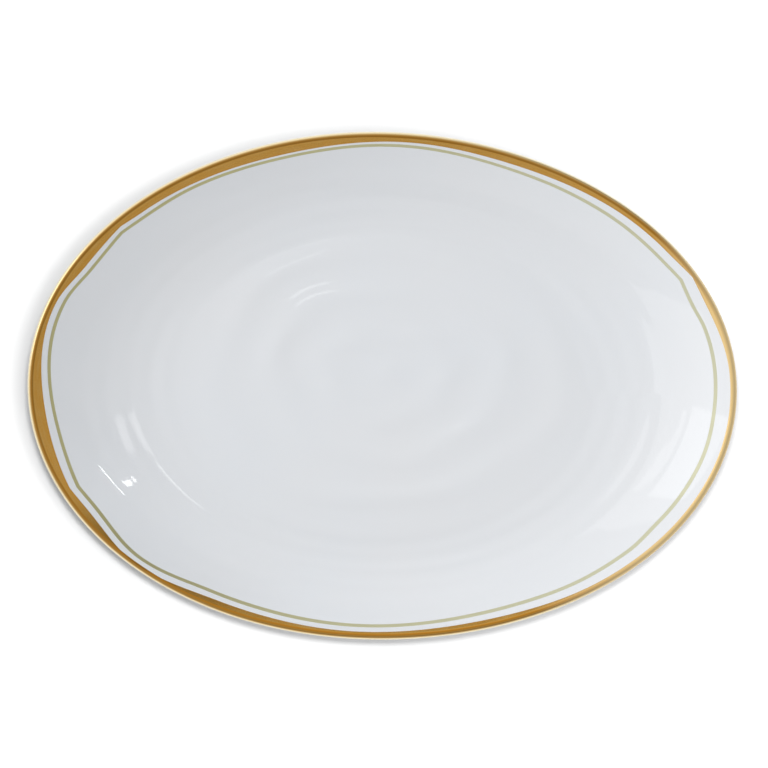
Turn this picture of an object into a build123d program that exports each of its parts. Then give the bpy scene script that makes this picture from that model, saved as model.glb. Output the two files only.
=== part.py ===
from build123d import *
import math
import os

# Oval coupe serving platter in glazed porcelain, gilded by hand at the rim.
# Millimetres. +X runs along the platter, +Z is up, and the origin is on the table, under the centre.
#
# Each piece is turned as a quarter of a round one, with its radii measured along the long axis,
# narrowed across Y to the oval, and mirrored to the other three quarters.

# ---- overall size ----
length = 380.0
width = 272.0
height = 36.0
oval_ratio = width / length

# ---- section of the dish, along the long axis ----
well_radius = 112.0  # where the flat well turns up into the wall
floor_height = 8.7  # face of the well above the table
underside_height = 4.4  # glazed underside of the well above the table
lip_radius = 2.0  # rounding of the glazed lip
glaze_thickness = 0.3

# ---- foot ring, with its radii along the long axis ----
foot_outer = 109.0  # where the foot's outer side meets the underside
foot_width = 7.5  # at the underside
foot_cove = 1.6  # radius of the hollow between the foot's side and the underside
foot_land_width = 3.0  # the ground standing edge
foot_ease_height = 0.7  # height of the eased corner beside the standing edge
grinding_depth = 1.0  # clay below the table plane, ground away to leave the standing edge flat

# ---- gilding ----
gold_thickness = 0.2
hairline_width = 1.7
outline_step = 4  # degrees of the rim that one arc of a painted outline covers

# Inner edge of the gold band: the angle round the rim in degrees, anticlockwise from +X, and the
# distance in from the rim. The brush swung in and out by hand, so the waves are uneven.
band_waves = [
    (3, 3.75), (14.5, 4.95), (20.7, 3.35), (27, 4.95), (33, 4.95), (60, 6.2), (84, 5.2), (117, 7.2),
    (144, 6.5), (148.8, 5.6), (158, 7.3), (166.6, 4.8), (186, 8.4), (199.4, 5.6), (204.2, 6.3),
    (216.8, 2.75), (234, 5.55), (265, 4.2), (295, 5.1), (322, 3.75), (348, 3.6),
]

# Middle of the hairline, in the same form. It follows the band's waves from further in.
hairline_waves = [
    (12, 10.4), (15.8, 10.9), (21.4, 8.7), (27, 9.6), (40, 9.1), (55, 8.95), (87, 7.05),
    (117, 8.75), (134, 8.4), (144, 8.9), (149.4, 8.25), (157.8, 10.3), (165.6, 8.3), (188, 12.7),
    (200, 9.4), (204, 10.0), (217, 6.2), (232, 8.7), (266, 7.2), (303, 8.95), (314, 8.65),
    (326, 9.0), (334, 10.3), (347, 10.5), (357, 11.2),
]

# ---- the lip and the two wall arcs that run into it ----
lip_x = length / 2 - gold_thickness - lip_radius
lip_z = height - gold_thickness - lip_radius
crest_angle = 90  # direction of the lip's highest point from its centre, in degrees

wall_run = lip_x - well_radius
face_rise = lip_z - floor_height
face_radius = (wall_run**2 + face_rise**2 - lip_radius**2) / (2 * (face_rise + lip_radius))
face_turn = math.degrees(math.atan2(wall_run, face_radius - face_rise))
under_rise = lip_z - underside_height
under_radius = (wall_run**2 + under_rise**2 - lip_radius**2) / (2 * (under_rise - lip_radius))
under_turn = math.degrees(math.atan2(wall_run, under_radius - under_rise))

# ---- the foot's two sides ----
body_underside = underside_height + glaze_thickness
foot_inner = foot_outer - foot_width
cove_height = underside_height - foot_cove
foot_ease = (foot_width - foot_land_width) / 2 - foot_cove
ground_off = foot_ease * grinding_depth / foot_ease_height
land_outer = foot_outer - foot_cove - foot_ease
land_inner = land_outer - foot_land_width
foot_inner_ratio = (land_outer * oval_ratio - foot_land_width) / land_inner


def face_line(lift):
    """Face of the dish from the axis to the crest of the lip, raised by lift above the glaze."""
    Line((0, floor_height + lift), (well_radius, floor_height + lift))
    CenterArc((well_radius, floor_height + face_radius), face_radius - lift, -90, face_turn)
    CenterArc((lip_x, lip_z), lip_radius + lift, 90 + face_turn, crest_angle - 90 - face_turn)


def outside_line(lift):
    """Lip and outside wall from the crest down to the flat underside, raised by lift."""
    CenterArc((lip_x, lip_z), lip_radius + lift, crest_angle, under_turn - 90 - crest_angle)
    CenterArc((well_radius, underside_height + under_radius), under_radius + lift, -90, under_turn)


def lip_point(radius, angle):
    """Point of the section on a circle about the lip's centre."""
    across = radius * math.cos(math.radians(angle))
    up = radius * math.sin(math.radians(angle))
    return (lip_x + across, lip_z + up)


def face_coat(low, high):
    """Section of a coat on the face, between two levels counted from the glaze's surface."""
    face_line(low)
    face_line(high)
    Line((0, floor_height + low), (0, floor_height + high))
    Line(lip_point(lip_radius + low, crest_angle), lip_point(lip_radius + high, crest_angle))


def foot_side(base, outward):
    """Section from the axis to one side of the foot, which flares outward (1) or inward (-1)."""
    cove_side = base - outward * foot_cove
    land_side = cove_side - outward * foot_ease
    ground_side = land_side - outward * ground_off
    Line((0, body_underside), (base, body_underside))
    Line((base, body_underside), (base, underside_height))
    CenterArc((base, cove_height), foot_cove, 90, outward * 90)
    Line((cove_side, cove_height), (cove_side, foot_ease_height))
    Line((cove_side, foot_ease_height), (ground_side, -grinding_depth))
    Line((ground_side, -grinding_depth), (0, -grinding_depth))
    Line((0, -grinding_depth), (0, body_underside))


def turn_oval(ratio):
    """Turn the pending section into a quarter, narrow it, and mirror it all round."""
    revolve(axis=Axis.Z, revolution_arc=90)
    scale(by=(1, ratio, 1))
    mirror(about=Plane.XZ)
    mirror(about=Plane.YZ)


def rim_point(angle, inset):
    """Point on the table at the angle seen from above, in from the oval rim by inset."""
    seen_x = math.cos(math.radians(angle))
    seen_y = math.sin(math.radians(angle))
    turn = math.atan2(seen_y / oval_ratio, seen_x)
    normal_x = math.cos(turn) * oval_ratio
    normal_y = math.sin(turn)
    normal_length = math.hypot(normal_x, normal_y)
    x = length / 2 * math.cos(turn) - inset * normal_x / normal_length
    y = width / 2 * math.sin(turn) - inset * normal_y / normal_length
    return (x, y)


def wave_inset(waves, angle):
    """Distance in from the rim at an angle, easing from each wave to the next."""
    first_angle, first_inset = waves[0]
    seen = first_angle + (angle - first_angle) % 360
    start, near = [wave for wave in waves if wave[0] <= seen][-1]
    later = [wave for wave in waves if wave[0] > seen] + [(first_angle + 360, first_inset)]
    end, far = later[0]
    ease = (1 - math.cos(math.pi * (seen - start) / (end - start))) / 2
    return near + (far - near) * ease


def painted_outline(waves, shift):
    """Closed wavy outline that follows the rim, moved further in from it by shift."""
    for arc_start in range(0, 360, outline_step):
        arc_angles = (arc_start, arc_start + outline_step / 2, arc_start + outline_step)
        ThreePointArc(*[rim_point(a, wave_inset(waves, a) + shift) for a in arc_angles])


def finish(piece, name):
    """Label a finished piece and write it out."""
    piece.part.label = name
    export_step(piece.part, f"parts/{name}.step")


os.makedirs("parts", exist_ok=True)

# ---- clay body: everything inside the glaze, down to the foot ----
with BuildPart() as porcelain_body:
    with BuildSketch(Plane.XZ):
        with BuildLine():
            face_line(-glaze_thickness)
            outside_line(-glaze_thickness)
            Line((well_radius, body_underside), (0, body_underside))
            Line((0, body_underside), (0, floor_height - glaze_thickness))
        make_face()
    turn_oval(oval_ratio)
finish(porcelain_body, "porcelain_body")

# ---- foot ring: the space inside it is narrowed by its own ratio, to keep the foot's width ----
with BuildPart() as foot_recess:
    with BuildSketch(Plane.XZ):
        with BuildLine():
            foot_side(foot_inner, -1)
        make_face()
    turn_oval(foot_inner_ratio)

with BuildPart() as foot_ring:
    with BuildSketch(Plane.XZ):
        with BuildLine():
            foot_side(foot_outer, 1)
        make_face()
    turn_oval(oval_ratio)
    add(foot_recess.part, mode=Mode.SUBTRACT)
    split(bisect_by=Plane.XY, keep=Keep.TOP)
finish(foot_ring, "foot_ring")

# ---- glaze: one coat on the face, one on the outside, one on the recess inside the foot ----
with BuildPart() as face_glaze:
    with BuildSketch(Plane.XZ):
        with BuildLine():
            face_coat(-glaze_thickness, 0)
        make_face()
    turn_oval(oval_ratio)
finish(face_glaze, "face_glaze")

with BuildPart() as underside_glaze:
    with BuildSketch(Plane.XZ):
        with BuildLine():
            outside_line(-glaze_thickness)
            outside_line(0)
            Line((well_radius, body_underside), (foot_outer, body_underside))
            Line((foot_outer, body_underside), (foot_outer, underside_height))
            Line((foot_outer, underside_height), (well_radius, underside_height))
            Line(
                lip_point(lip_radius - glaze_thickness, crest_angle),
                lip_point(lip_radius, crest_angle),
            )
        make_face()
    turn_oval(oval_ratio)
finish(underside_glaze, "underside_glaze")

with BuildPart() as recess_glaze:
    with BuildSketch(Plane.XZ):
        with Locations((0, underside_height)):
            Rectangle(foot_inner, glaze_thickness, align=(Align.MIN, Align.MIN))
    turn_oval(foot_inner_ratio)
finish(recess_glaze, "recess_glaze")

# ---- gilding on the face, cut from a gold coat by its wavy outlines ----
with BuildPart() as gold_rim_band:
    with BuildSketch(Plane.XZ):
        with BuildLine():
            face_coat(0, gold_thickness)
        make_face()
    turn_oval(oval_ratio)
    with BuildSketch(Plane.XY):
        with BuildLine():
            painted_outline(band_waves, 0)
        make_face()
    extrude(amount=height, mode=Mode.SUBTRACT)
finish(gold_rim_band, "gold_rim_band")

with BuildPart() as gold_hairline:
    with BuildSketch(Plane.XZ):
        with BuildLine():
            face_coat(0, gold_thickness)
        make_face()
    turn_oval(oval_ratio)
    with BuildSketch(Plane.XY):
        with BuildLine():
            painted_outline(hairline_waves, -hairline_width / 2)
        make_face()
        with BuildLine():
            painted_outline(hairline_waves, hairline_width / 2)
        make_face(mode=Mode.SUBTRACT)
    extrude(amount=height, mode=Mode.INTERSECT)
finish(gold_hairline, "gold_hairline")

# ---- gilding over the lip ----
with BuildPart() as gold_lip_edge:
    with BuildSketch(Plane.XZ):
        with BuildLine():
            gilded_turn = under_turn - 90 - crest_angle
            CenterArc((lip_x, lip_z), lip_radius, crest_angle, gilded_turn)
            CenterArc((lip_x, lip_z), lip_radius + gold_thickness, crest_angle, gilded_turn)
            for end_angle in (crest_angle, crest_angle + gilded_turn):
                Line(lip_point(lip_radius, end_angle), lip_point(lip_radius + gold_thickness, end_angle))
        make_face()
    turn_oval(oval_ratio)
finish(gold_lip_edge, "gold_lip_edge")
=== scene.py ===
import math

import bpy
import numpy as np
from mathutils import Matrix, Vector


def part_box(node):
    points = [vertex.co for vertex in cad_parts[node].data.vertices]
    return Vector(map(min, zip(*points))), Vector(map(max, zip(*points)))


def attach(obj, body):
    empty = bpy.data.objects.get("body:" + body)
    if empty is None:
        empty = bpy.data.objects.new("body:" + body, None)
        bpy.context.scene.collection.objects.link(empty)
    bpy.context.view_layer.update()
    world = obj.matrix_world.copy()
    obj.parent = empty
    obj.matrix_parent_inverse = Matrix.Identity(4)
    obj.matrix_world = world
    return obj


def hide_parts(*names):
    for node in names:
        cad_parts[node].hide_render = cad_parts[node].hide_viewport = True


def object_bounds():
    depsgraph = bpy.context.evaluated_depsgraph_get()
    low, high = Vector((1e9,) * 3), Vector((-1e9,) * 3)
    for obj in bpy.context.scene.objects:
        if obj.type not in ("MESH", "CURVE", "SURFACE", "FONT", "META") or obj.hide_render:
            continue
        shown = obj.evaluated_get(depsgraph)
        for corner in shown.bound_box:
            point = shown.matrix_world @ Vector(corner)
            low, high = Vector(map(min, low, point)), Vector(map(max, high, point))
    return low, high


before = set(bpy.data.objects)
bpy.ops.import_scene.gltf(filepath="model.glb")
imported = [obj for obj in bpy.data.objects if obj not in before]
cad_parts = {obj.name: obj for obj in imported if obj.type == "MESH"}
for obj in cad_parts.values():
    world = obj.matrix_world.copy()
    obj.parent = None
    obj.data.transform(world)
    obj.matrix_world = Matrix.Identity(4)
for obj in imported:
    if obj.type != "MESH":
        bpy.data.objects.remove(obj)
cad_low, cad_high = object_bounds()

# Oval porcelain serving platter, glazed and gilded by hand. Metres, in the CAD frame.
# Every surface is drawn as a section that is turned round the Z axis and narrowed across Y, as the
# CAD is, and is then given the faint unevenness of a hand-made piece.
MM = 0.001

# ---- sizes read from the frame ----
half_length = cad_high.x
half_width = cad_high.y
rim_height = cad_high.z
oval = half_width / half_length
recess_low, recess_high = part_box("recess_glaze")
underside_z = recess_low.z
glaze = recess_high.z - recess_low.z
floor_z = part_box("face_glaze")[0].z + glaze
foot_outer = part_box("foot_ring")[1].x
foot_inner = recess_high.x
foot_oval = recess_high.y / recess_high.x

# ---- section of the dish, as in the CAD ----
LIP_RADIUS = 2.0 * MM
WELL_RADIUS = 112 * MM
GOLD_STAND_IN = 0.2 * MM
FOOT_COVE = 1.6 * MM
FOOT_LAND = 3.0 * MM
FOOT_EASE_HEIGHT = 0.7 * MM

lip_x = half_length - GOLD_STAND_IN - LIP_RADIUS
lip_z = rim_height - GOLD_STAND_IN - LIP_RADIUS
wall_run = lip_x - WELL_RADIUS
face_rise = lip_z - floor_z
under_rise = lip_z - underside_z
wall_square = wall_run**2 - LIP_RADIUS**2
face_radius = (wall_square + face_rise**2) / (2 * (face_rise + LIP_RADIUS))
under_radius = (wall_square + under_rise**2) / (2 * (under_rise - LIP_RADIUS))
face_turn = math.atan2(wall_run, face_radius - face_rise)
under_turn = math.atan2(wall_run, under_radius - under_rise)
CREST = math.pi / 2
face_lip_angle = CREST + face_turn
under_lip_angle = under_turn - CREST

# ---- gilding, as painted: angle round the rim in degrees from +X, distance in from the rim in
# millimetres, and whether the brush turned round or left a sharp cusp there ----
BAND_WAVES = [
    (3, 3.75, "round"), (14.5, 4.95, "round"), (20.7, 3.35, "sharp"), (27, 4.95, "round"),
    (33, 4.95, "round"), (60, 6.2, "round"), (84, 5.2, "round"), (117, 7.2, "round"),
    (144, 6.5, "round"), (148.8, 5.6, "sharp"), (158, 7.3, "round"), (166.6, 4.8, "round"),
    (186, 8.4, "round"), (199.4, 5.6, "sharp"), (204.2, 6.3, "round"), (216.8, 2.75, "round"),
    (234, 5.55, "round"), (265, 4.2, "round"), (295, 5.1, "round"), (322, 3.75, "round"),
    (348, 3.6, "round"),
]
HAIRLINE_WAVES = [
    (12, 10.4, "round"), (15.8, 10.9, "round"), (21.4, 8.7, "sharp"), (27, 9.6, "round"),
    (40, 9.1, "round"), (55, 8.95, "round"), (87, 7.05, "round"), (117, 8.75, "round"),
    (134, 8.4, "round"), (144, 8.9, "round"), (149.4, 8.25, "sharp"), (157.8, 10.3, "round"),
    (165.6, 8.3, "round"), (188, 12.7, "round"), (200, 9.4, "sharp"), (204, 10.0, "round"),
    (217, 6.2, "round"), (232, 8.7, "round"), (266, 7.2, "round"), (303, 8.95, "round"),
    (314, 8.65, "round"), (326, 9.0, "round"), (334, 10.3, "round"), (347, 10.5, "round"),
    (357, 11.2, "round"),
]
BAND_LIFT = 0.06 * MM  # thickness of each coat of gold above the glaze
LIP_GOLD_LIFT = 0.08 * MM
HAIRLINE_LIFT = 0.04 * MM
BAND_TAPER = 0.35 * MM  # how far in from a painted edge the coat reaches its thickness
HAIRLINE_TAPER = 0.2 * MM
HAIRLINE_HALF_WIDTH = 0.86 * MM
EDGE_SUNK = 0.03 * MM  # how far a coat's edge lies inside the glaze
BACK_SUNK = 0.04 * MM  # how far its back does

# ---- mesh densities: columns round the platter, and rows along its section ----
FACE_COLUMNS = 360
BAND_COLUMNS = 1440
FOOT_COLUMNS = 240
WELL_ROWS = 112
WALL_ROWS = 74
COARSE_WELL_ROWS = 40
OUTSIDE_ROWS = 60
FACE_LIP_ROWS = 9
OUTER_LIP_ROWS = 15
RECESS_ROWS = 50
BACK_ROWS = 30
LIP_GOLD_ROWS = 18
SHARP_ANGLE = 50  # degrees between faces above which an edge is shaded sharp


# ======== the section: columns of (radius, height, normal radius, normal height) ========

def face_section(radii):
    """Face of the well and wall at the given radii."""
    radii = np.asarray(radii, float)
    out = np.maximum(radii - WELL_RADIUS, 0)
    drop = np.sqrt(face_radius**2 - out**2)
    height = floor_z + face_radius - drop
    return np.stack([radii, height, -out / face_radius, drop / face_radius], 1)


def outside_section(radii):
    """Underside of the wall and of the well at the given radii."""
    radii = np.asarray(radii, float)
    out = np.maximum(radii - WELL_RADIUS, 0)
    drop = np.sqrt(under_radius**2 - out**2)
    height = underside_z + under_radius - drop
    return np.stack([radii, height, out / under_radius, -drop / under_radius], 1)


def lip_section(start, end, count):
    """Rounded lip between two directions about its centre."""
    angle = np.linspace(start, end, count)
    across, up = np.cos(angle), np.sin(angle)
    return np.stack([lip_x + LIP_RADIUS * across, lip_z + LIP_RADIUS * up, across, up], 1)


def lifted(section, lift):
    """Section moved out along its normals, as (radius, height) rows."""
    lift = np.broadcast_to(lift, len(section))
    return section[:, :2] + section[:, 2:] * lift[:, None]


face_wall_end = lip_section(face_lip_angle, face_lip_angle, 1)[0, 0]
under_wall_end = lip_section(under_lip_angle, under_lip_angle, 1)[0, 0]


# ======== the hand-made unevenness ========

RING_CENTRE = (4 * MM, 8 * MM)
RING_SPACING = 0.166  # of the half length
RING_HEIGHT = 0.58 * MM
RIM_WAVER = 0.6 * MM
RIM_GROWTH = 0.15 * MM
RIM_DIP = 0.25 * MM
WELL_EDGE_WAVE = 0.08 * MM
LIP_REACH = 3.4 * MM
LIP_BLEND = 60 * MM


def smooth(low, high, value):
    """Smooth step from 0 at low to 1 at high."""
    t = np.clip((value - low) / (high - low), 0, 1)
    return t * t * (3 - 2 * t)


def throwing_rings(x, y):
    """Height of the faint finger rings that the thrower left in the well."""
    from_x, from_y = x - RING_CENTRE[0], (y - RING_CENTRE[1]) / oval
    rho = np.hypot(from_x, from_y) / half_length
    turn = np.arctan2(from_y, from_x)
    drift = 0.08 * np.sin(turn + 0.7) + 0.08 * np.sin(3 * turn + 2.1 + 6 * rho)
    drift = drift + 0.05 * np.sin(7 * turn - 0.4 - 11 * rho)
    off_centre = smooth(0.0, 0.25, rho)
    phase = rho / RING_SPACING + drift * off_centre
    crest = (0.5 + 0.5 * np.cos(2 * np.pi * phase)) ** 1.3
    patchy = 0.25 * np.sin(turn * 2 - 0.5 + 9 * rho) + 0.2 * np.sin(turn * 5 + 17 * rho)
    fade = (0.82 + 0.18 * smooth(0.12, 0.33, rho)) * (1 - smooth(0.54, 0.76, rho))
    return RING_HEIGHT * crest * (0.85 + patchy * off_centre) * fade


def well_edge_waves(rho, turn):
    """Shallow unevenness where the well turns up into the wall."""
    near = smooth(0.5, 0.66, rho) * (1 - smooth(0.78, 0.92, rho))
    waves = np.sin(95 * rho + 1.5 * turn + 0.4) + 0.6 * np.sin(62 * rho - 4 * turn + 1.3)
    return WELL_EDGE_WAVE * near * waves


def lip_shift(radius, turn):
    """Move across the rim that keeps the lip as thick at the sides as at the ends.

    It eases away over the wall, where the section is narrowed with the oval."""
    inset = half_length - radius
    reach = np.minimum(inset, LIP_REACH) * (1 - smooth(LIP_REACH, LIP_BLEND, inset))
    across, along = oval * np.cos(turn), np.sin(turn)
    normal = np.hypot(across, along)
    return reach * (np.cos(turn) - across / normal), reach * (oval * np.sin(turn) - along / normal)


def placed(radius, height, turn, narrow, face):
    """Points in space of a section point at each turn, narrowed across Y and made uneven.

    narrow is the ratio across Y. face is 1 on the eating face and 0 on the outside."""
    rho = radius / half_length
    shift_x, shift_y = lip_shift(radius, turn)
    x = radius * np.cos(turn) + shift_x
    y = radius * narrow * np.sin(turn) + shift_y
    seen = np.arctan2(y, x)
    rimward = smooth(0.55, 1.0, rho)
    normal_x, normal_y = oval * np.cos(turn), np.sin(turn)
    reach = np.hypot(normal_x, normal_y)
    waver = (RIM_GROWTH + RIM_WAVER * np.cos(3 * (seen + math.radians(17)))) * rimward
    rim_dip = RIM_DIP * np.cos(2 * seen + 0.6) * rimward**2
    uneven = face * (throwing_rings(x, y) + well_edge_waves(rho, turn)) if face else 0.0
    return np.stack(
        [x + waver * normal_x / reach, y + waver * normal_y / reach, height + rim_dip + uneven], -1
    )


# ======== meshes ========

def turns(columns):
    """Equal steps round the axis, one for each column of a mesh."""
    return np.arange(columns) * (2 * np.pi / columns)


def smooth_mesh(name, points, faces, material, node, slot):
    """Closed mesh object that rides on the platter and stands for a CAD node."""
    mesh = bpy.data.meshes.new(name)
    mesh.from_pydata(points.tolist(), [], faces)
    mesh.polygons.foreach_set("use_smooth", [True] * len(mesh.polygons))
    mesh.set_sharp_from_angle(angle=math.radians(SHARP_ANGLE))
    mesh.materials.append(material)
    piece = bpy.data.objects.new(name, mesh)
    bpy.context.scene.collection.objects.link(piece)
    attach(piece, "root")
    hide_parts(node)
    return piece


def quads(columns, rows, closed):
    """Faces between neighbouring columns of points; closed joins the last row to the first."""
    column = np.arange(columns)[:, None]
    row = np.arange(rows if closed else rows - 1)[None, :]
    following = (column + 1) % columns
    above = (row + 1) % rows
    corners = [column * rows + row, column * rows + above, following * rows + above]
    corners.append(following * rows + row)
    corners = [np.broadcast_to(c, (columns, row.shape[1])) for c in corners]
    return np.stack(corners, -1).reshape(-1, 4).tolist()


def ring_piece(name, grid, *finish):
    """Piece whose section is a closed loop; grid is columns x loop points x 3."""
    columns, rows = grid.shape[:2]
    return smooth_mesh(name, grid.reshape(-1, 3), quads(columns, rows, True), *finish)


def dish_piece(name, grid, *finish):
    """Piece whose section starts and ends near the axis, closed there by a fan to a pole."""
    columns, rows = grid.shape[:2]
    poles = np.stack([grid[:, 0].mean(0), grid[:, -1].mean(0)])
    points = np.concatenate([grid.reshape(-1, 3), poles])
    faces = quads(columns, rows, False)
    start_pole = columns * rows
    for column in range(columns):
        following = (column + 1) % columns
        faces.append((start_pole, column * rows, following * rows))
        faces.append((start_pole + 1, following * rows + rows - 1, column * rows + rows - 1))
    return smooth_mesh(name, points, faces, *finish)


def turned(parts, columns, narrow):
    """Grid of one section turned all round; parts are (rows of (radius, height), face) pairs."""
    turn = turns(columns)[:, None]
    blocks = []
    for rows, face in parts:
        blocks.append(placed(rows[None, :, 0], rows[None, :, 1], turn, narrow, face))
    return np.concatenate(blocks, 1)


# ======== painted outlines ========

def wave_distance(waves, angle):
    """Distance in from the rim, in metres, at an angle in degrees."""
    first = waves[0][0]
    seen = first + (angle - first) % 360
    ends = waves[1:] + [(first + 360,) + waves[0][1:]]
    for (start, near, near_kind), (end, far, far_kind) in zip(waves, ends):
        if start <= seen <= end:
            break
    t = (seen - start) / (end - start)
    if near_kind == "sharp" and far_kind == "round":
        ease = math.sin(math.pi / 2 * t)
    elif near_kind == "round" and far_kind == "sharp":
        ease = 1 - math.cos(math.pi / 2 * t)
    else:
        ease = (1 - math.cos(math.pi * t)) / 2
    return (near + (far - near) * ease) * MM


def outline_radii(waves, columns):
    """Section radius of a painted outline at each column."""
    angles = np.arange(0, 360, 0.125)
    inset = np.array([wave_distance(waves, a) for a in angles])
    seen = np.radians(angles)
    turn = np.arctan2(np.sin(seen) / oval, np.cos(seen))
    normal_x, normal_y = oval * np.cos(turn), np.sin(turn)
    reach = np.hypot(normal_x, normal_y)
    x = half_length * np.cos(turn) - inset * normal_x / reach
    y = (half_width * np.sin(turn) - inset * normal_y / reach) / oval
    shift_x, shift_y = lip_shift(np.hypot(x, y), turn)
    x, y = x - shift_x, y - shift_y / oval
    around = np.unwrap(np.arctan2(y, x))
    radii = np.hypot(x, y)
    return np.interp(turns(columns), around, radii, period=2 * np.pi)


def sky_direction(azimuth, elevation):
    """Unit vector at an azimuth anticlockwise from +X and an elevation, in degrees."""
    a, e = math.radians(azimuth), math.radians(elevation)
    return Vector((math.cos(a) * math.cos(e), math.sin(a) * math.cos(e), math.sin(e)))


# ======== materials ========

def new_material(name, base, roughness, metallic=0.0):
    """Material with one Principled shader; returns it with its node tree and that shader."""
    material = bpy.data.materials.new(name)
    material.use_nodes = True
    tree = material.node_tree
    shader = tree.nodes["Principled BSDF"]
    shader.inputs["Base Color"].default_value = (*base, 1)
    shader.inputs["Roughness"].default_value = roughness
    shader.inputs["Metallic"].default_value = metallic
    return material, tree, shader


def node(tree, kind, values=None, **settings):
    """Node with its settings, and its inputs set or linked from other sockets."""
    made = tree.nodes.new(kind)
    for key, value in settings.items():
        setattr(made, key, value)
    for key, value in (values or {}).items():
        if isinstance(value, bpy.types.NodeSocket):
            tree.links.new(value, made.inputs[key])
        else:
            made.inputs[key].default_value = value
    return made


def object_coords(tree):
    return node(tree, "ShaderNodeTexCoord").outputs["Object"]


def noise(tree, vector, scale, detail=2.0, rough=0.5, distortion=0.0):
    values = {"Vector": vector, "Scale": scale, "Detail": detail, "Roughness": rough}
    values["Distortion"] = distortion
    return node(tree, "ShaderNodeTexNoise", values).outputs["Fac"]


def remap(tree, value, from_low, from_high, to_low, to_high):
    values = {0: value, 1: from_low, 2: from_high, 3: to_low, 4: to_high}
    return node(tree, "ShaderNodeMapRange", values).outputs["Result"]


def mixed(tree, factor, first, second):
    """Colour between two colours or sockets."""
    made = tree.nodes.new("ShaderNodeMix")
    made.data_type = "RGBA"
    for key, value in ((0, factor), (6, first), (7, second)):
        if isinstance(value, bpy.types.NodeSocket):
            tree.links.new(value, made.inputs[key])
        elif key == 0:
            made.inputs[key].default_value = value
        else:
            made.inputs[key].default_value = (*value, 1)
    return made.outputs[2]


def bumped(tree, shader, height, distance, strength):
    values = {"Height": height, "Distance": distance, "Strength": strength}
    made = node(tree, "ShaderNodeBump", values)
    tree.links.new(made.outputs["Normal"], shader.inputs["Normal"])


def rim_coords(tree):
    """Coordinates that run along the rim, across it and up, in metres, for brushed streaks."""
    split = node(tree, "ShaderNodeSeparateXYZ", {0: object_coords(tree)})
    x = split.outputs["X"]
    y = node(tree, "ShaderNodeMath", {0: split.outputs["Y"], 1: oval}, operation="DIVIDE").outputs[0]
    turn = node(tree, "ShaderNodeMath", {0: y, 1: x}, operation="ARCTAN2").outputs[0]
    along = node(tree, "ShaderNodeMath", {0: turn, 1: half_length}, operation="MULTIPLY").outputs[0]
    flat = node(tree, "ShaderNodeCombineXYZ", {0: x, 1: y})
    across = node(tree, "ShaderNodeVectorMath", {0: flat.outputs[0]}, operation="LENGTH")
    values = {0: along, 1: across.outputs["Value"], 2: split.outputs["Z"]}
    return node(tree, "ShaderNodeCombineXYZ", values).outputs[0]


def stretched(tree, vector, scale):
    values = {0: vector, 1: scale}
    return node(tree, "ShaderNodeVectorMath", values, operation="MULTIPLY").outputs[0]


def glaze_material(name, cool, warm):
    """Clear glossy glaze over white porcelain, very slightly uneven in tone and surface."""
    material, tree, shader = new_material(name, cool, 0.06)
    coords = object_coords(tree)
    clouds = noise(tree, coords, 9.0, 3.0, 0.55)
    mottle = noise(tree, coords, 220.0, 2.0)
    tone = remap(tree, clouds, 0.3, 0.7, 0.0, 1.0)
    fine = remap(tree, mottle, 0.35, 0.65, 0.0, 0.25)
    colour = mixed(tree, fine, mixed(tree, tone, cool, warm), warm)
    tree.links.new(colour, shader.inputs["Base Color"])
    sheen = remap(tree, noise(tree, coords, 35.0, 3.0), 0.3, 0.7, 0.03, 0.05)
    tree.links.new(sheen, shader.inputs["Roughness"])
    shader.inputs["IOR"].default_value = 1.5
    broad = noise(tree, coords, 55.0, 2.0, 0.4)
    peel = noise(tree, coords, 520.0, 2.0, 0.5)
    heights = node(tree, "ShaderNodeMath", {0: peel, 1: 0.12, 2: broad}, operation="MULTIPLY_ADD")
    bumped(tree, shader, heights.outputs[0], 0.00006, 0.5)
    return material


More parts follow.
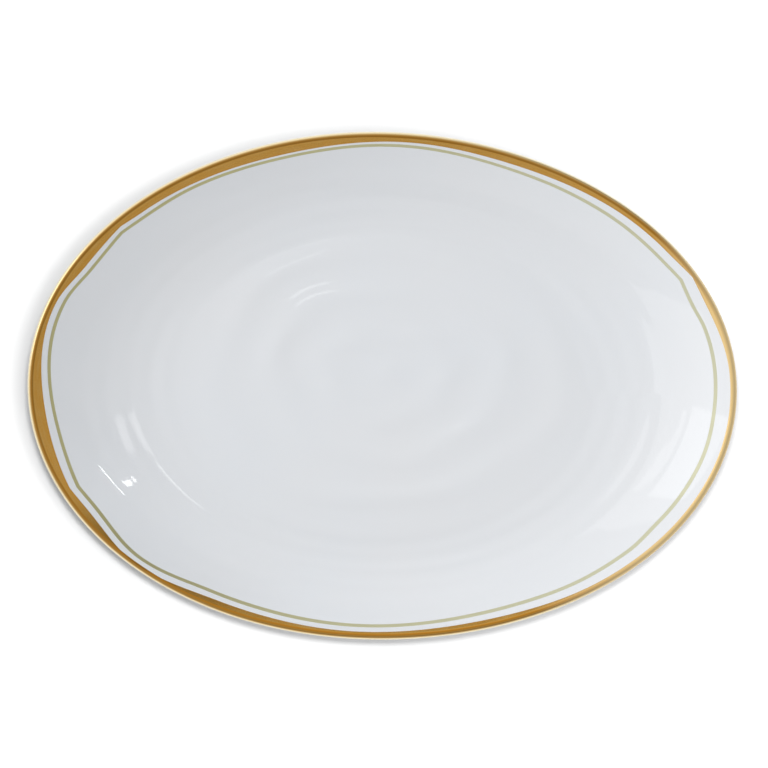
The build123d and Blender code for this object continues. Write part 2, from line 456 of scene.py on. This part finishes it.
def gold_material(name, crest_shade_tone, tone, thin_tone, highlight_tone, crest_reach, wear_and_highlight, shine, dull):
    """Fired gold brushed along the rim, thin where the brush ran dry. Its colour also carries
    painted
    light: a painted shade, the darker crest tone, on the upright crest of the lip, reaching further
    down on the -Y side; and a painted highlight, paler and less metallic gold, towards the +X end.

    The argument after crest_reach holds the lean towards that end at which the painted highlight
    starts and is complete."""
    material, tree, shader = new_material(name, tone, shine, 1.0)
    rim = rim_coords(tree)
    brushed = noise(tree, stretched(tree, rim, (40, 2600, 900)), 1.0, 4.0, 0.6, 0.3)
    pools = noise(tree, stretched(tree, rim, (90, 260, 200)), 1.0, 3.0, 0.55)
    normal = node(tree, "ShaderNodeTexCoord").outputs["Normal"]
    upright = node(tree, "ShaderNodeSeparateXYZ", {0: normal}).outputs["Z"]
    flat = stretched(tree, object_coords(tree), (1, 1, 0))
    outward = node(tree, "ShaderNodeVectorMath", {0: flat}, operation="NORMALIZE").outputs[0]

    def lean(azimuth):
        values = {0: outward, 1: tuple(sky_direction(azimuth, 0))}
        return node(tree, "ShaderNodeVectorMath", values, operation="DOT_PRODUCT").outputs["Value"]

    # Painted shade: the darker crest tone covers the upright crest of the lip and reaches further
    # down it on the -Y side.
    shaded_side = remap(tree, lean(CREST_SHADE_AZIMUTH), 0.4, 1.0, 0.0, 0.1)
    crest_shading = node(tree, "ShaderNodeMath", {0: upright, 1: shaded_side}, operation="ADD").outputs[0]
    on_crest = remap(tree, crest_shading, crest_reach, 0.995, 0.0, 1.0)
    # Painted highlight: towards the +X end the gold turns paler and, below, less metallic.
    highlight_end = remap(tree, lean(HIGHLIGHT_AZIMUTH), *wear_and_highlight, 0.0, 1.0)
    strokes = remap(tree, brushed, 0.35, 0.75, 0.0, 0.35)
    patches = remap(tree, pools, 0.4, 0.75, 0.0, 0.25)
    thinning = node(tree, "ShaderNodeMath", {0: strokes, 1: patches}, operation="ADD").outputs[0]
    off_crest = remap(tree, on_crest, 0.0, 1.0, 1.0, 0.15)
    thinning = node(tree, "ShaderNodeMath", {0: thinning, 1: off_crest}, operation="MULTIPLY")
    # Body tone, with the painted crest shade on the upright crest.
    crest_shaded = mixed(tree, on_crest, tone, crest_shade_tone)
    colour = mixed(tree, highlight_end, mixed(tree, thinning.outputs[0], crest_shaded, thin_tone), highlight_tone)
    tree.links.new(colour, shader.inputs["Base Color"])
    # Less metallic at the painted highlight towards the +X end.
    tree.links.new(remap(tree, highlight_end, 0.0, 1.0, 1.0, 0.3), shader.inputs["Metallic"])
    tree.links.new(remap(tree, pools, 0.3, 0.7, shine, dull), shader.inputs["Roughness"])
    heights = node(tree, "ShaderNodeMath", {0: pools, 1: 2.0, 2: brushed}, operation="MULTIPLY_ADD")
    bumped(tree, shader, heights.outputs[0], 0.00003, 0.4)
    return material


def bisque_material(name):
    """Bare fired clay: matt, faintly sandy, with grey rub marks on the standing edge."""
    bare, rubbed = (0.78, 0.74, 0.67), (0.56, 0.53, 0.49)
    material, tree, shader = new_material(name, bare, 0.85)
    coords = object_coords(tree)
    grain = noise(tree, coords, 1400.0, 3.0, 0.6)
    rubs = noise(tree, coords, 90.0, 4.0, 0.6)
    low = node(tree, "ShaderNodeSeparateXYZ", {0: coords}).outputs["Z"]
    near_table = remap(tree, low, 0.0006, 0.0, 0.0, 1.0)
    wear_and_highlight = node(
        tree, "ShaderNodeMath", {0: remap(tree, rubs, 0.45, 0.65, 0.0, 0.8), 1: near_table},
        operation="MULTIPLY",
    )
    speckled = mixed(tree, remap(tree, grain, 0.4, 0.7, 0.0, 0.25), bare, rubbed)
    tree.links.new(mixed(tree, wear_and_highlight.outputs[0], speckled, rubbed), shader.inputs["Base Color"])
    bumped(tree, shader, grain, 0.00008, 0.6)
    return material


# Directions in degrees from +X: towards the painted highlight on the gold, and of the side where its
# painted crest shade reaches furthest.
HIGHLIGHT_AZIMUTH = -12
CREST_SHADE_AZIMUTH = 258
white_glaze = glaze_material("white_glaze", (0.80, 0.83, 0.868), (0.815, 0.832, 0.858))
bisque = bisque_material("bisque")
# Tones of each gold: painted crest shade, body, brush-thinned, and painted highlight at the +X end.
# The lip gold's pale body tone on the outer roll of the lip is in part a painted highlight.
rim_gold = gold_material(
    "rim_gold", (0.58, 0.255, 0.026), (0.56, 0.285, 0.047), (0.60, 0.41, 0.16), (0.98, 0.70, 0.31),
    0.86, (0.74, 0.95), 0.14, 0.24,
)
lip_gold = gold_material(
    "lip_gold", (0.60, 0.33, 0.075), (0.94, 0.82, 0.54), (0.80, 0.68, 0.44), (0.84, 0.63, 0.31),
    0.76, (0.74, 0.95), 0.16, 0.26,
)
olive_gold = gold_material(
    "olive_gold", (0.56, 0.52, 0.27), (0.58, 0.54, 0.28), (0.64, 0.61, 0.38), (0.72, 0.71, 0.50),
    0.99, (-0.8, 0.95), 0.38, 0.52,
)


# ======== the pieces ========

AXIS_GAP = 0.4 * MM  # radius of the ring of points next to a pole
well_radii = np.linspace(AXIS_GAP, WELL_RADIUS, WELL_ROWS)
wall_radii = np.linspace(WELL_RADIUS, face_wall_end, WALL_ROWS)[1:-1]
coarse_well_radii = np.linspace(AXIS_GAP, WELL_RADIUS, COARSE_WELL_ROWS)
coarse_radii = np.concatenate([coarse_well_radii, wall_radii[::3]])
face_rows = face_section(np.concatenate([well_radii, wall_radii]))
coarse_face_rows = face_section(coarse_radii)
face_lip_rows = lip_section(face_lip_angle, CREST, FACE_LIP_ROWS)
outer_lip_rows = lip_section(CREST, under_lip_angle, OUTER_LIP_ROWS)
outside_radii = np.linspace(under_wall_end, WELL_RADIUS, OUTSIDE_ROWS)[1:]
outside_rows = outside_section(outside_radii)
body_underside_z = underside_z + glaze


def make_porcelain_body():
    """The fired clay inside the glaze."""
    base = [(r, body_underside_z) for r in np.linspace(WELL_RADIUS, AXIS_GAP, BACK_ROWS)[1:]]
    parts = [
        (lifted(coarse_face_rows, -glaze), 1),
        (lifted(face_lip_rows, -glaze), 1),
        (lifted(outer_lip_rows[1:], -glaze), 0),
        (lifted(outside_rows, -glaze), 0),
        (np.array(base), 0),
    ]
    return dish_piece(
        "body_clay", turned(parts, FACE_COLUMNS, oval), bisque, "porcelain_body", "biscuit"
    )


def make_face_glaze():
    """The glaze that the food lies on, to the crest of the lip."""
    parts = [
        (lifted(face_rows, 0), 1),
        (lifted(face_lip_rows, 0), 1),
        (lifted(face_lip_rows[::-1], -glaze), 1),
        (lifted(coarse_face_rows[::-1], -glaze), 1),
    ]
    grid = turned(parts, FACE_COLUMNS, oval)
    return dish_piece("glaze_face", grid, white_glaze, "face_glaze", "glaze")


# The glaze runs down both sides of the foot and stops in a rounded bead above the standing edge.
FOOT_COAT = 0.25 * MM
BEAD_HEIGHT = 1.3 * MM
BEAD_THICKNESS = 0.36 * MM
cove_height = underside_z - FOOT_COVE
land_outer_ease = (foot_outer - foot_inner - FOOT_LAND) / 2 - FOOT_COVE


def foot_side_rows(base, outward, coat):
    """Side of the foot from the underside down to the glaze's end, coat thick, as rows."""
    side = base - outward * FOOT_COVE
    rows = []
    for t in np.linspace(0, math.pi / 2, 9):
        reach = FOOT_COVE - coat
        rows.append((base - outward * reach * math.sin(t), cove_height + reach * math.cos(t)))
    rows.append((side + outward * coat, (cove_height + BEAD_HEIGHT) / 2 + coat))
    if coat:
        for t in np.linspace(0.3, math.pi - 0.1, 7):
            swell = side + outward * BEAD_THICKNESS * math.sin(t)
            rows.append((swell, BEAD_HEIGHT + BEAD_THICKNESS * (1 + math.cos(t))))
    rows.append((side, BEAD_HEIGHT))
    return np.array(rows)


def make_underside_glaze():
    """The glaze on the outside, from the crest of the lip down the outer side of the foot."""
    flat_radius = WELL_RADIUS - 0.5 * MM
    flat_out = np.array([(flat_radius, underside_z)])
    flat_in = np.array([(r, body_underside_z) for r in (foot_outer, flat_radius)])
    outer = foot_side_rows(foot_outer, 1, FOOT_COAT)
    inner = foot_side_rows(foot_outer, 1, 0.0)[::-1]
    parts = [
        (lifted(outer_lip_rows, 0), 0),
        (lifted(outside_rows, 0), 0),
        (flat_out, 0),
        (outer, 0),
        (inner, 0),
        (flat_in, 0),
        (lifted(outside_rows[::-1], -glaze), 0),
        (lifted(outer_lip_rows[::-1], -glaze), 0),
    ]
    grid = turned(parts, FACE_COLUMNS, oval)
    return ring_piece("glaze_outside", grid, white_glaze, "underside_glaze", "glaze")


def make_recess_glaze():
    """The glaze inside the foot ring, running down the inner side of the foot."""
    flat = np.linspace(AXIS_GAP, foot_inner - FOOT_COVE, RECESS_ROWS)
    outer = foot_side_rows(foot_inner, -1, FOOT_COAT)
    inner = foot_side_rows(foot_inner, -1, 0.0)[::-1]
    back = np.linspace(foot_inner, AXIS_GAP, BACK_ROWS)
    parts = [
        (np.stack([flat, np.full(RECESS_ROWS, underside_z)], 1), 0),
        (outer, 0),
        (inner, 0),
        (np.stack([back, np.full(BACK_ROWS, body_underside_z)], 1), 0),
    ]
    grid = turned(parts, FOOT_COLUMNS, foot_oval)
    return dish_piece("glaze_recess", grid, white_glaze, "recess_glaze", "glaze")


def make_foot():
    """The bare clay foot ring, with eased corners beside its standing edge."""
    turn = turns(FOOT_COLUMNS)[:, None]
    blocks = []
    for base, outward, narrow in ((foot_outer, 1, oval), (foot_inner, -1, foot_oval)):
        side = base - outward * FOOT_COVE
        rows = [(base, body_underside_z)]
        rows += [tuple(row) for row in foot_side_rows(base, outward, 0.0)]
        rows.append((side, FOOT_EASE_HEIGHT + 0.2 * MM))
        for t in np.linspace(0, math.pi / 2, 6):
            in_by = land_outer_ease * (1 - math.cos(t))
            rows.append((side - outward * in_by, FOOT_EASE_HEIGHT * (1 - math.sin(t))))
        rows = np.array(rows)
        if outward < 0:
            rows = rows[::-1]
        blocks.append(placed(rows[None, :, 0], rows[None, :, 1], turn, narrow, 0))
    grid = np.concatenate(blocks, 1)
    return ring_piece("foot_clay", grid, bisque, "foot_ring", "biscuit")


def painted_ring(name, inner, outer, lip, lift, taper, *finish):
    """Thin painted coat on the face between two outlines, tapered to nothing at painted edges.

    inner and outer are section radii for each column; lip adds the roll up to the crest."""
    columns = len(inner)
    turn = turns(columns)
    steps = (0, 0.03, 0.08, 0.16, 0.3, 0.5, 0.7, 0.84, 0.92, 0.97, 1)
    top, bottom = [], []
    for step in steps:
        radii = inner + (outer - inner) * step
        section = face_section(radii)
        edge = np.minimum(radii - inner, taper)
        if not lip:
            edge = np.minimum(edge, outer - radii)
        height = lift * np.sqrt(np.clip(edge / taper, 0, 1)) - EDGE_SUNK * (edge <= 0)
        top.append(lifted(section, height))
        bottom.append(lifted(section, -BACK_SUNK))
    if lip:
        for row in lip_section(face_lip_angle, CREST, 7)[1:]:
            section = np.tile(row, (columns, 1))
            top.append(lifted(section, lift))
            bottom.append(lifted(section, -EDGE_SUNK))
    loop = np.stack(top + bottom[::-1], 1)
    grid = placed(loop[:, :, 0], loop[:, :, 1], turn[:, None], oval, 1)
    return ring_piece(name, grid, *finish)


def make_rim_band():
    """The broad gold band, from its wavy painted edge up to the crest of the lip."""
    inner = outline_radii(BAND_WAVES, BAND_COLUMNS)
    outer = np.full(BAND_COLUMNS, face_wall_end)
    return painted_ring(
        "gold_band", inner, outer, True, BAND_LIFT, BAND_TAPER, rim_gold, "gold_rim_band", "gold"
    )


def make_hairline():
    """The thin line inside the band, of slightly uneven width."""
    middle = outline_radii(HAIRLINE_WAVES, BAND_COLUMNS)
    turn = turns(BAND_COLUMNS)
    swell = 1 + 0.05 * np.cos(turn) - 0.08 * np.sin(turn) + 0.08 * np.cos(2 * turn)
    swell = swell + 0.03 * np.sin(9 * turn)
    half = HAIRLINE_HALF_WIDTH * swell * np.hypot(np.cos(turn), np.sin(turn) / oval)
    return painted_ring(
        "gold_line", middle - half, middle + half, False, HAIRLINE_LIFT, HAIRLINE_TAPER,
        olive_gold, "gold_hairline", "olive_gold",
    )


def make_lip_gilding():
    """The gilding over the lip, from just inside the crest to just under the edge; its pale tone is
    in part a painted highlight.
    """
    turn = turns(BAND_COLUMNS)
    overlap = math.radians(6)
    angles = np.linspace(CREST + overlap, under_lip_angle, LIP_GOLD_ROWS)
    ends = np.ones(LIP_GOLD_ROWS)
    ends[[0, -1]] = 0
    top, bottom = [], []
    wander = 0.12 * np.sin(5 * turn + 0.3) + 0.08 * np.sin(11 * turn + 1.9)
    for angle, full in zip(angles, ends):
        share = (CREST + overlap - angle) / (CREST + overlap - under_lip_angle)
        seen = angle + wander * share**3
        section = np.stack([
            lip_x + LIP_RADIUS * np.cos(seen), lip_z + LIP_RADIUS * np.sin(seen),
            np.cos(seen), np.sin(seen),
        ], 1)
        top.append(lifted(section, LIP_GOLD_LIFT * full - EDGE_SUNK * (1 - full)))
        bottom.append(lifted(section, -BACK_SUNK))
    loop = np.stack(top + bottom[::-1], 1)
    grid = placed(loop[:, :, 0], loop[:, :, 1], turn[:, None], oval, 1)
    return ring_piece("gold_lip", grid, lip_gold, "gold_lip_edge", "pale_gold")


platter = [
    make_porcelain_body(), make_foot(), make_face_glaze(), make_underside_glaze(),
    make_recess_glaze(), make_rim_band(), make_hairline(), make_lip_gilding(),
]


# ======== floor, light and camera ========

FLOOR_TONE = 0.5


def make_floor():
    """Plain white table far wider than the view."""
    half = 8.0
    mesh = bpy.data.meshes.new("floor")
    corners = [(-half, -half, 0), (half, -half, 0), (half, half, 0), (-half, half, 0)]
    mesh.from_pydata(corners, [], [(0, 1, 2, 3)])
    floor = bpy.data.objects.new("floor", mesh)
    bpy.context.scene.collection.objects.link(floor)
    material, tree, shader = new_material("floor_white", (FLOOR_TONE,) * 3, 0.9)
    shader.inputs["Specular IOR Level"].default_value = 0.1
    mesh.materials.append(material)
    return floor


def rectangle_light(name, width, tall, energy, lit):
    """Rectangular light, facing down, that lights only the objects in lit."""
    data = bpy.data.lights.new(name, "AREA")
    data.shape = "RECTANGLE"
    data.size, data.size_y = width, tall
    data.energy = energy
    light = bpy.data.objects.new(name, data)
    bpy.context.scene.collection.objects.link(light)
    receivers = bpy.data.collections.new(name + "_receivers")
    for lit_object in lit:
        receivers.objects.link(lit_object)
    light.light_linking.receiver_collection = receivers
    return light


def area_light(
    name, aim, azimuth, elevation, width, tall, radiance, lit, distance=1.6, spread=180
):
    """Light at a direction from the point that it aims at; radiance 1 looks pure white.

    The direction and the spread are in degrees."""
    energy = radiance * math.pi * width * tall
    half = math.radians(spread / 2)
    if spread < 180:
        energy *= 1 - half / math.tan(half)  # a narrow spread concentrates the power
    light = rectangle_light(name, width, tall, energy, lit)
    if spread < 180:
        light.data.spread = 2 * half
    towards = sky_direction(azimuth, elevation)
    light.location = Vector(aim) + towards * distance
    light.rotation_euler = towards.to_track_quat("Z", "Y").to_euler()


def floor_wash(name, tilt_x, tilt_y, share):
    """Light from nearly overhead for the floor alone, between tilts from the zenith towards +X and
    +Y in degrees, which whitens the floor by share and draws the platter's soft shadow."""
    height = 1.6
    low_x, high_x = (height * math.tan(math.radians(t)) for t in tilt_x)
    low_y, high_y = (height * math.tan(math.radians(t)) for t in tilt_y)
    energy = share / FLOOR_TONE * (math.pi * height) ** 2
    light = rectangle_light(name, high_x - low_x, high_y - low_y, energy, [floor])
    light.location = ((low_x + high_x) / 2, (low_y + high_y) / 2, height)


def make_world():
    """Studio surroundings: pale walls, lightest beyond the -X end and with one dark corner beyond
    the far side, under a ceiling that is dim and grows brighter towards -X and +Y."""
    world = bpy.data.worlds.new("studio")
    bpy.context.scene.world = world
    world.use_nodes = True
    tree = world.node_tree
    direction = node(tree, "ShaderNodeTexCoord").outputs["Generated"]

    flat = stretched(tree, direction, (1, 1, 0))
    round_about = node(tree, "ShaderNodeVectorMath", {0: flat}, operation="NORMALIZE").outputs[0]

    def lean(way, azimuth, low, high, to_low, to_high):
        values = {0: way, 1: tuple(sky_direction(azimuth, 0))}
        made = node(tree, "ShaderNodeVectorMath", values, operation="DOT_PRODUCT")
        return remap(tree, made.outputs["Value"], low, high, to_low, to_high)

    pale = lean(round_about, 160, -1.0, 1.0, 0.68, 1.06)
    dark_corner = lean(round_about, 60, 0.93, 0.99, 0.0, 0.5)
    walls = node(tree, "ShaderNodeMath", {0: pale, 1: dark_corner}, operation="SUBTRACT").outputs[0]
    ceiling = lean(direction, 135, -0.35, 0.75, 0.40, 0.92)
    up = node(tree, "ShaderNodeSeparateXYZ", {0: direction}).outputs["Z"]
    overhead = remap(tree, up, 0.48, 0.66, 0.0, 1.0)
    level = node(tree, "ShaderNodeMix", {0: overhead, 2: walls, 3: ceiling}).outputs[0]
    background = tree.nodes["Background"]
    background.inputs["Color"].default_value = (1.0, 1.0, 1.0, 1)
    tree.links.new(level, background.inputs["Strength"])


def make_camera():
    """Camera straight above, a touch off the middle and rolled by about a degree."""
    above_rim = 1.8
    view_width = 0.411  # of the plane of the rim
    off_middle = (0.00128, 0.00142)
    roll = math.radians(0.98)
    data = bpy.data.cameras.new("camera")
    data.sensor_width = 36
    data.lens = data.sensor_width * above_rim / view_width
    camera = bpy.data.objects.new("camera", data)
    bpy.context.scene.collection.objects.link(camera)
    camera.location = (*off_middle, rim_height + above_rim)
    camera.rotation_euler = (0, 0, roll)
    bpy.context.scene.camera = camera


floor = make_floor()
make_world()
glazed = [piece for piece in platter if piece.name.startswith("glaze")]

# where the reflections of the lights are seen on the platter
RIGHT_WALL = (0.154, -0.035, 0.02)
LEFT_WALL = (-0.127, -0.037, 0.012)
LEFT_EDGE = (-0.130, -0.026, 0.011)
LEFT_RIM = (-0.144, -0.050, 0.018)
WELL = (-0.045, 0.055, 0.009)

# the broad reflections: the sides of the room and a window with its upper pane
area_light("broad_panel", RIGHT_WALL, 172, 41, 5.5, 2.3, 0.80, glazed, 4.0)
area_light("window_pane", RIGHT_WALL, 157.5, 28.5, 1.92, 1.45, 1.35, platter, 4.0)
area_light("upper_pane", RIGHT_WALL, 157, 44, 1.6, 0.27, 1.0, platter, 4.0)
area_light("near_fill", WELL, -38, 46, 0.8, 0.8, 0.22, glazed, 0.75)
area_light("far_fill", WELL, 70, 42, 4.5, 3.0, 0.2, glazed, 4.0)

# the small ones: streaks, a soft patch and a bright spot on the left, and arcs on the rings
area_light("soft_strip", LEFT_WALL, 44, 68.5, 0.18, 0.12, 2.8, glazed, spread=30)
area_light("pale_strip", LEFT_WALL, 46, 70.5, 0.16, 0.05, 1.8, glazed, spread=24)
area_light("soft_pane", LEFT_EDGE, 23, 68.3, 0.17, 0.26, 2.6, glazed, spread=24)
area_light("thin_strip", LEFT_RIM, 36.9, 38.5, 0.22, 0.014, 16.0, glazed)
area_light("small_lamp", LEFT_RIM, 38.7, 46.6, 0.034, 0.034, 12.0, glazed)
area_light("ceiling_gap", WELL, 118, 82.4, 0.14, 0.06, 2.4, glazed, 1.7, spread=9)

floor_wash("near_wash", (-2.2, 2.9), (2.0, 6.5), 0.43)
floor_wash("side_wash", (2.8, 17), (-9.5, 5.0), 0.38)
make_camera()
bpy.context.scene.view_settings.view_transform = "Standard"
